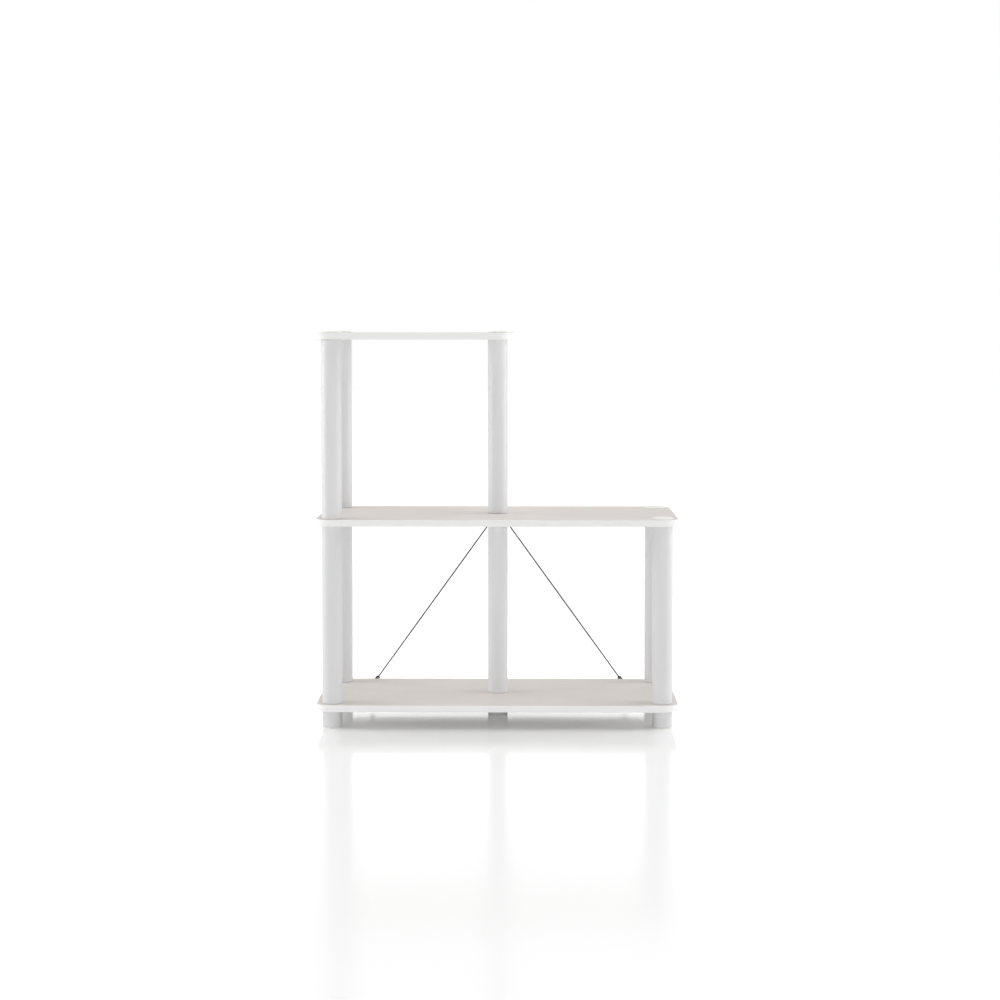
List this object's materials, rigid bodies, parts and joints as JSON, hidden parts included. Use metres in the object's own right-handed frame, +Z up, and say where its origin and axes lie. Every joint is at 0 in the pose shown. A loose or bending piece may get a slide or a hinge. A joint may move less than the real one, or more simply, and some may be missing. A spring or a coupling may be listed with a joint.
{
  "type": "stepped tube shelf",
  "caption": "Low stepped open bookcase of thin rounded boards on screwed-together white tubes, with a wire brace across the back.",
  "frame": {"origin": "centre of the sole of the middle foot, on the floor", "axes": "+Z up, +X to the right seen from the front, +Y to the back, where the brace is"},
  "size_m": [0.682, 0.3011, 0.7476],
  "materials": {
    "board_laminate": "warm white satin laminate on particle board",
    "edge_band": "white satin edge band",
    "tube_plastic": "white satin extruded plastic",
    "moulded_plastic": "white satin moulded plastic",
    "brace_steel": "dull grey drawn wire",
    "black_plastic": "black moulded plastic",
    "black_screw": "black oxide screw"
  },
  "bodies": {
    "root": {"bottom_board": "board_laminate", "bottom_board_edge_band": "edge_band", "middle_board": "board_laminate", "middle_board_edge_band": "edge_band", "top_board": "board_laminate", "top_board_edge_band": "edge_band", "foot_tube_front_left": "tube_plastic", "foot_glide_front_left": "moulded_plastic", "foot_socket_front_left": "moulded_plastic", "lower_tube_front_left": "tube_plastic", "lower_stud_plug_front_left": "moulded_plastic", "lower_socket_front_left": "moulded_plastic", "upper_tube_front_left": "tube_plastic", "upper_stud_plug_front_left": "moulded_plastic", "upper_socket_front_left": "moulded_plastic", "cap_front_left": "moulded_plastic", "foot_tube_rear_left": "tube_plastic", "foot_glide_rear_left": "moulded_plastic", "foot_socket_rear_left": "moulded_plastic", "lower_tube_rear_left": "tube_plastic", "lower_stud_plug_rear_left": "moulded_plastic", "lower_socket_rear_left": "moulded_plastic", "upper_tube_rear_left": "tube_plastic", "upper_stud_plug_rear_left": "moulded_plastic", "upper_socket_rear_left": "moulded_plastic", "cap_rear_left": "moulded_plastic", "foot_tube_middle": "tube_plastic", "foot_glide_middle": "moulded_plastic", "foot_socket_middle": "moulded_plastic", "lower_tube_middle": "tube_plastic", "lower_stud_plug_middle": "moulded_plastic", "lower_socket_middle": "moulded_plastic", "upper_tube_middle": "tube_plastic", "upper_stud_plug_middle": "moulded_plastic", "upper_socket_middle": "moulded_plastic", "cap_middle": "moulded_plastic", "foot_tube_front_right": "tube_plastic", "foot_glide_front_right": "moulded_plastic", "foot_socket_front_right": "moulded_plastic", "lower_tube_front_right": "tube_plastic", "lower_stud_plug_front_right": "moulded_plastic", "lower_socket_front_right": "moulded_plastic", "cap_front_right": "moulded_plastic", "foot_tube_rear_right": "tube_plastic", "foot_glide_rear_right": "moulded_plastic", "foot_socket_rear_right": "moulded_plastic", "lower_tube_rear_right": "tube_plastic", "lower_stud_plug_rear_right": "moulded_plastic", "lower_socket_rear_right": "moulded_plastic", "cap_rear_right": "moulded_plastic", "brace_rod_left": "brace_steel", "brace_rod_right": "brace_steel", "brace_plate_left": "black_plastic", "brace_screw_left": "black_screw", "brace_plate_right": "black_plastic", "brace_screw_right": "black_screw", "brace_plate_top": "black_plastic", "brace_screw_top": "black_screw"}
  },
  "joints": []
}
